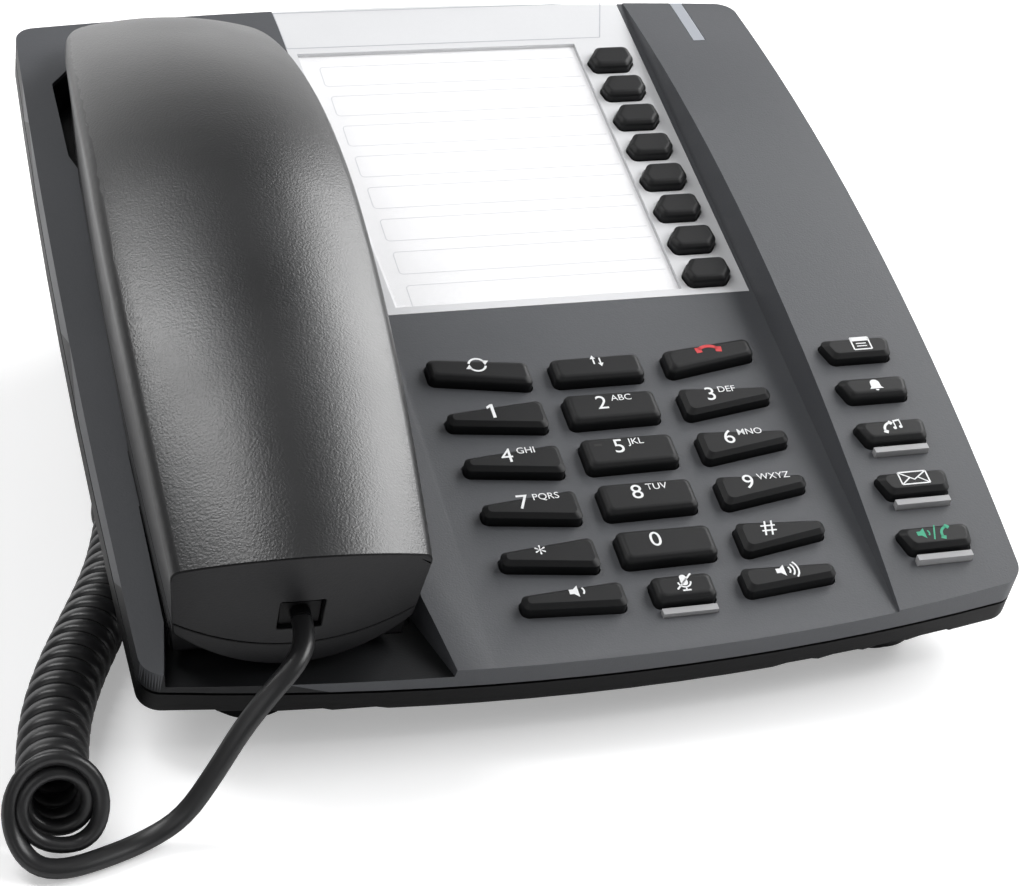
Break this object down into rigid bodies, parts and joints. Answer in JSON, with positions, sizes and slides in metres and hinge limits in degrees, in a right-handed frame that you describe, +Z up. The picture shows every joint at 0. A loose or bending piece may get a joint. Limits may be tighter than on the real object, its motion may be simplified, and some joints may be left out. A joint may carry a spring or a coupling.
{
  "type": "corded desk telephone",
  "caption": "Corded push-button desk telephone with a sloping wedge body, a handset in a left cradle, memory keys beside a clear-covered index label and a curly handset cord.",
  "frame": {"origin": "on the desk surface, under the middle of the telephone body (without the cord)", "axes": "+Z up; +X towards the right of someone using the telephone, +Y towards the back of the body; the key panel slopes up towards the back at 16 degrees"},
  "size_m": [0.2157, 0.2298, 0.0921],
  "materials": {
    "housing_top": "matte",
    "housing_bottom": "satin",
    "handset_back": "textured",
    "handset_front": "satin",
    "key": "satin",
    "label_frame": "satin",
    "paper": "matte",
    "clear_cover": "gloss",
    "lamp": "gloss",
    "foot_rubber": "matte",
    "mat_rubber": "matte",
    "screw_steel": "satin",
    "weight_steel": "satin",
    "board": "satin",
    "speaker": "matte",
    "jack_plastic": "gloss",
    "plug_clear": "gloss",
    "cord": "satin"
  },
  "bodies": {
    "telephone_base": {"base_handset_jack": "jack_plastic", "base_plug": "plug_clear", "circuit_board": "board", "cord_coil": "cord", "cord_lead": "cord", "cord_tail": "cord", "desk_stand": "housing_bottom", "hook_switch": "jack_plastic", "housing_screws": "screw_steel", "indicator_lenses": "lamp", "keypad_mat": "mat_rubber", "label_cover": "clear_cover", "label_frame": "label_frame", "label_paper": "paper", "line_jack": "jack_plastic", "loudspeaker": "speaker", "lower_housing": "housing_bottom", "message_lamp_lens": "lamp", "rubber_feet": "foot_rubber", "upper_housing": "housing_top"},
    "handset": {"handset_back_shell": "handset_back", "handset_front_shell": "handset_front", "earpiece_receiver": "speaker", "microphone": "speaker", "handset_weight": "weight_steel", "handset_jack": "jack_plastic", "handset_plug": "plug_clear"},
    "hook": {"hook_lever": "housing_bottom"},
    "key_0_body": {"key_0": "key"},
    "key_1_body": {"key_1": "key"},
    "key_2_body": {"key_2": "key"},
    "key_3_body": {"key_3": "key"},
    "key_4_body": {"key_4": "key"},
    "key_5_body": {"key_5": "key"},
    "key_6_body": {"key_6": "key"},
    "key_7_body": {"key_7": "key"},
    "key_8_body": {"key_8": "key"},
    "key_9_body": {"key_9": "key"},
    "key_bell_body": {"key_bell": "key"},
    "key_callback_body": {"key_callback": "key"},
    "key_flash_body": {"key_flash": "key"},
    "key_handsfree_body": {"key_handsfree": "key"},
    "key_hang_up_body": {"key_hang_up": "key"},
    "key_hash_body": {"key_hash": "key"},
    "key_message_body": {"key_message": "key"},
    "key_mute_body": {"key_mute": "key"},
    "key_notes_body": {"key_notes": "key"},
    "key_redial_body": {"key_redial": "key"},
    "key_star_body": {"key_star": "key"},
    "key_volume_down_body": {"key_volume_down": "key"},
    "key_volume_up_body": {"key_volume_up": "key"},
    "memory_key_1_body": {"memory_key_1": "key"},
    "memory_key_2_body": {"memory_key_2": "key"},
    "memory_key_3_body": {"memory_key_3": "key"},
    "memory_key_4_body": {"memory_key_4": "key"},
    "memory_key_5_body": {"memory_key_5": "key"},
    "memory_key_6_body": {"memory_key_6": "key"},
    "memory_key_7_body": {"memory_key_7": "key"},
    "memory_key_8_body": {"memory_key_8": "key"}
  },
  "joints": [
    {"name": "handset_lift", "type": "slide", "parent": "telephone_base", "child": "handset", "axis": [0, -0.2756, 0.9613], "range_m": [0, 0.06]},
    {"name": "hook_rise", "type": "slide", "parent": "telephone_base", "child": "hook", "axis": [0, -0.2756, 0.9613], "range_m": [0, 0.003]},
    {"name": "key_0_press", "type": "slide", "parent": "telephone_base", "child": "key_0_body", "axis": [0, 0.2756, -0.9613], "range_m": [0, 0.0013], "stiffness_N_per_m": 600, "springref_m": -0.0008},
    {"name": "key_1_press", "type": "slide", "parent": "telephone_base", "child": "key_1_body", "axis": [0, 0.2756, -0.9613], "range_m": [0, 0.0013], "stiffness_N_per_m": 600, "springref_m": -0.0008},
    {"name": "key_2_press", "type": "slide", "parent": "telephone_base", "child": "key_2_body", "axis": [0, 0.2756, -0.9613], "range_m": [0, 0.0013], "stiffness_N_per_m": 600, "springref_m": -0.0008},
    {"name": "key_3_press", "type": "slide", "parent": "telephone_base", "child": "key_3_body", "axis": [0, 0.2756, -0.9613], "range_m": [0, 0.0013], "stiffness_N_per_m": 600, "springref_m": -0.0008},
    {"name": "key_4_press", "type": "slide", "parent": "telephone_base", "child": "key_4_body", "axis": [0, 0.2756, -0.9613], "range_m": [0, 0.0013], "stiffness_N_per_m": 600, "springref_m": -0.0008},
    {"name": "key_5_press", "type": "slide", "parent": "telephone_base", "child": "key_5_body", "axis": [0, 0.2756, -0.9613], "range_m": [0, 0.0013], "stiffness_N_per_m": 600, "springref_m": -0.0008},
    {"name": "key_6_press", "type": "slide", "parent": "telephone_base", "child": "key_6_body", "axis": [0, 0.2756, -0.9613], "range_m": [0, 0.0013], "stiffness_N_per_m": 600, "springref_m": -0.0008},
    {"name": "key_7_press", "type": "slide", "parent": "telephone_base", "child": "key_7_body", "axis": [0, 0.2756, -0.9613], "range_m": [0, 0.0013], "stiffness_N_per_m": 600, "springref_m": -0.0008},
    {"name": "key_8_press", "type": "slide", "parent": "telephone_base", "child": "key_8_body", "axis": [0, 0.2756, -0.9613], "range_m": [0, 0.0013], "stiffness_N_per_m": 600, "springref_m": -0.0008},
    {"name": "key_9_press", "type": "slide", "parent": "telephone_base", "child": "key_9_body", "axis": [0, 0.2756, -0.9613], "range_m": [0, 0.0013], "stiffness_N_per_m": 600, "springref_m": -0.0008},
    {"name": "key_bell_press", "type": "slide", "parent": "telephone_base", "child": "key_bell_body", "axis": [0, 0.2756, -0.9613], "range_m": [0, 0.0013], "stiffness_N_per_m": 600, "springref_m": -0.0008},
    {"name": "key_callback_press", "type": "slide", "parent": "telephone_base", "child": "key_callback_body", "axis": [0, 0.2756, -0.9613], "range_m": [0, 0.0013], "stiffness_N_per_m": 600, "springref_m": -0.0008},
    {"name": "key_flash_press", "type": "slide", "parent": "telephone_base", "child": "key_flash_body", "axis": [0, 0.2756, -0.9613], "range_m": [0, 0.0013], "stiffness_N_per_m": 600, "springref_m": -0.0008},
    {"name": "key_handsfree_press", "type": "slide", "parent": "telephone_base", "child": "key_handsfree_body", "axis": [0, 0.2756, -0.9613], "range_m": [0, 0.0013], "stiffness_N_per_m": 600, "springref_m": -0.0008},
    {"name": "key_hang_up_press", "type": "slide", "parent": "telephone_base", "child": "key_hang_up_body", "axis": [0, 0.2756, -0.9613], "range_m": [0, 0.0013], "stiffness_N_per_m": 600, "springref_m": -0.0008},
    {"name": "key_hash_press", "type": "slide", "parent": "telephone_base", "child": "key_hash_body", "axis": [0, 0.2756, -0.9613], "range_m": [0, 0.0013], "stiffness_N_per_m": 600, "springref_m": -0.0008},
    {"name": "key_message_press", "type": "slide", "parent": "telephone_base", "child": "key_message_body", "axis": [0, 0.2756, -0.9613], "range_m": [0, 0.0013], "stiffness_N_per_m": 600, "springref_m": -0.0008},
    {"name": "key_mute_press", "type": "slide", "parent": "telephone_base", "child": "key_mute_body", "axis": [0, 0.2756, -0.9613], "range_m": [0, 0.0013], "stiffness_N_per_m": 600, "springref_m": -0.0008},
    {"name": "key_notes_press", "type": "slide", "parent": "telephone_base", "child": "key_notes_body", "axis": [0, 0.2756, -0.9613], "range_m": [0, 0.0013], "stiffness_N_per_m": 600, "springref_m": -0.0008},
    {"name": "key_redial_press", "type": "slide", "parent": "telephone_base", "child": "key_redial_body", "axis": [0, 0.2756, -0.9613], "range_m": [0, 0.0013], "stiffness_N_per_m": 600, "springref_m": -0.0008},
    {"name": "key_star_press", "type": "slide", "parent": "telephone_base", "child": "key_star_body", "axis": [0, 0.2756, -0.9613], "range_m": [0, 0.0013], "stiffness_N_per_m": 600, "springref_m": -0.0008},
    {"name": "key_volume_down_press", "type": "slide", "parent": "telephone_base", "child": "key_volume_down_body", "axis": [0, 0.2756, -0.9613], "range_m": [0, 0.0013], "stiffness_N_per_m": 600, "springref_m": -0.0008},
    {"name": "key_volume_up_press", "type": "slide", "parent": "telephone_base", "child": "key_volume_up_body", "axis": [0, 0.2756, -0.9613], "range_m": [0, 0.0013], "stiffness_N_per_m": 600, "springref_m": -0.0008},
    {"name": "memory_key_1_press", "type": "slide", "parent": "telephone_base", "child": "memory_key_1_body", "axis": [0, 0.2756, -0.9613], "range_m": [0, 0.0013], "stiffness_N_per_m": 600, "springref_m": -0.0008},
    {"name": "memory_key_2_press", "type": "slide", "parent": "telephone_base", "child": "memory_key_2_body", "axis": [0, 0.2756, -0.9613], "range_m": [0, 0.0013], "stiffness_N_per_m": 600, "springref_m": -0.0008},
    {"name": "memory_key_3_press", "type": "slide", "parent": "telephone_base", "child": "memory_key_3_body", "axis": [0, 0.2756, -0.9613], "range_m": [0, 0.0013], "stiffness_N_per_m": 600, "springref_m": -0.0008},
    {"name": "memory_key_4_press", "type": "slide", "parent": "telephone_base", "child": "memory_key_4_body", "axis": [0, 0.2756, -0.9613], "range_m": [0, 0.0013], "stiffness_N_per_m": 600, "springref_m": -0.0008},
    {"name": "memory_key_5_press", "type": "slide", "parent": "telephone_base", "child": "memory_key_5_body", "axis": [0, 0.2756, -0.9613], "range_m": [0, 0.0013], "stiffness_N_per_m": 600, "springref_m": -0.0008},
    {"name": "memory_key_6_press", "type": "slide", "parent": "telephone_base", "child": "memory_key_6_body", "axis": [0, 0.2756, -0.9613], "range_m": [0, 0.0013], "stiffness_N_per_m": 600, "springref_m": -0.0008},
    {"name": "memory_key_7_press", "type": "slide", "parent": "telephone_base", "child": "memory_key_7_body", "axis": [0, 0.2756, -0.9613], "range_m": [0, 0.0013], "stiffness_N_per_m": 600, "springref_m": -0.0008},
    {"name": "memory_key_8_press", "type": "slide", "parent": "telephone_base", "child": "memory_key_8_body", "axis": [0, 0.2756, -0.9613], "range_m": [0, 0.0013], "stiffness_N_per_m": 600, "springref_m": -0.0008}
  ],
  "couplings": [
    {"joint": "hook_rise", "follows": "handset_lift", "ratio": 0.05}
  ]
}
